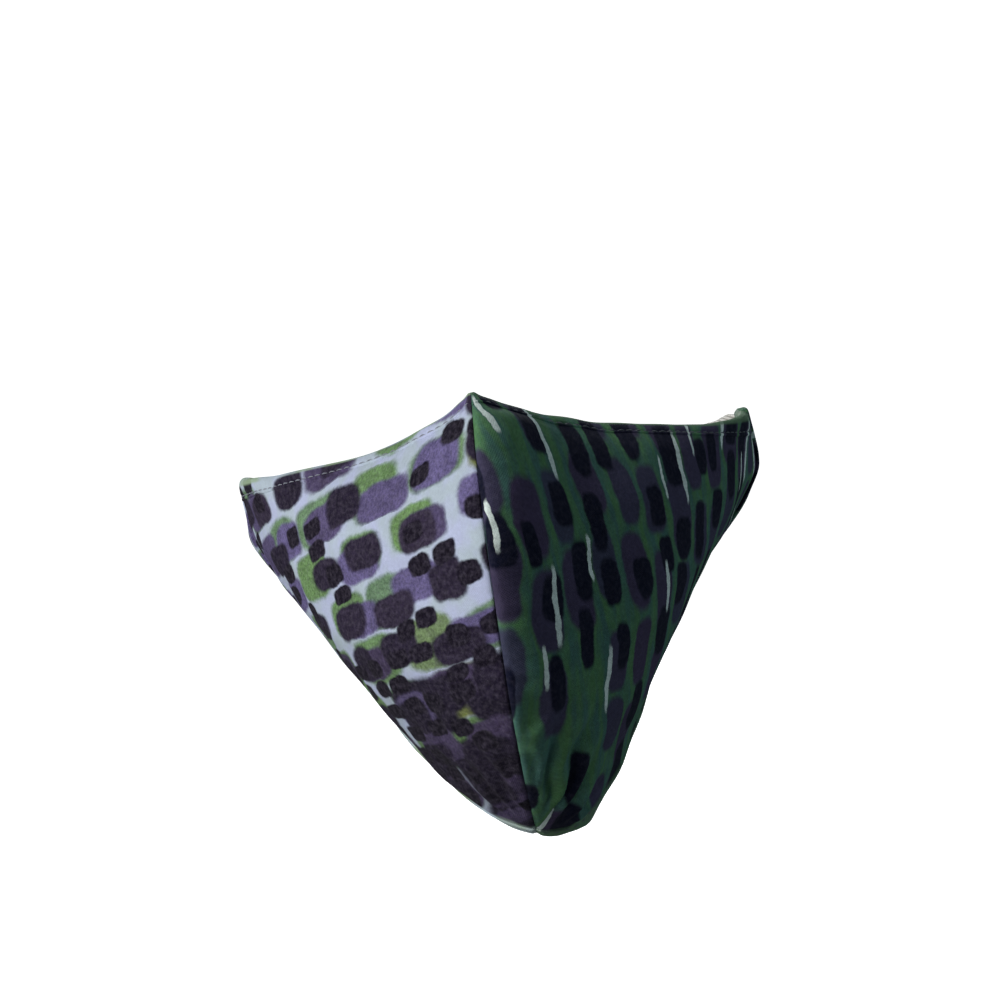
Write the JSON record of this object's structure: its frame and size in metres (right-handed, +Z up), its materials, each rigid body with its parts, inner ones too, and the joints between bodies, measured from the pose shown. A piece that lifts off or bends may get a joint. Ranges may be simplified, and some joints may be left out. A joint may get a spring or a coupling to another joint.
{
  "type": "cloth face mask",
  "caption": "Worn cloth face mask of shaped printed cotton panels joined by a curved keel-like centre seam, with turned hems and a flat elastic ear loop at each side.",
  "frame": {"origin": "the top of the centre seam, where the mask sits on the wearer's nose bridge", "axes": "+Y runs from the nose bridge back towards the wearer, so the wearer looks along -Y; +X is the wearer's left; +Z is up"},
  "size_m": [0.1438, 0.1804, 0.1103],
  "materials": {
    "print_dark": "matt printed cotton, dark green and navy",
    "hem_dark": "matt printed cotton, turned and stitched",
    "print_light": "matt printed cotton, plum, green and pale blue",
    "hem_light": "matt printed cotton, turned and stitched",
    "elastic": "braided white elastic"
  },
  "bodies": {
    "root": {"panel_right": "print_dark", "top_hem_right": "hem_dark", "bottom_hem_right": "hem_dark", "side_hem_right": "hem_dark", "ear_loop_right": "elastic", "panel_left": "print_light", "top_hem_left": "hem_light", "bottom_hem_left": "hem_light", "side_hem_left": "hem_light", "ear_loop_left": "elastic"}
  },
  "joints": []
}
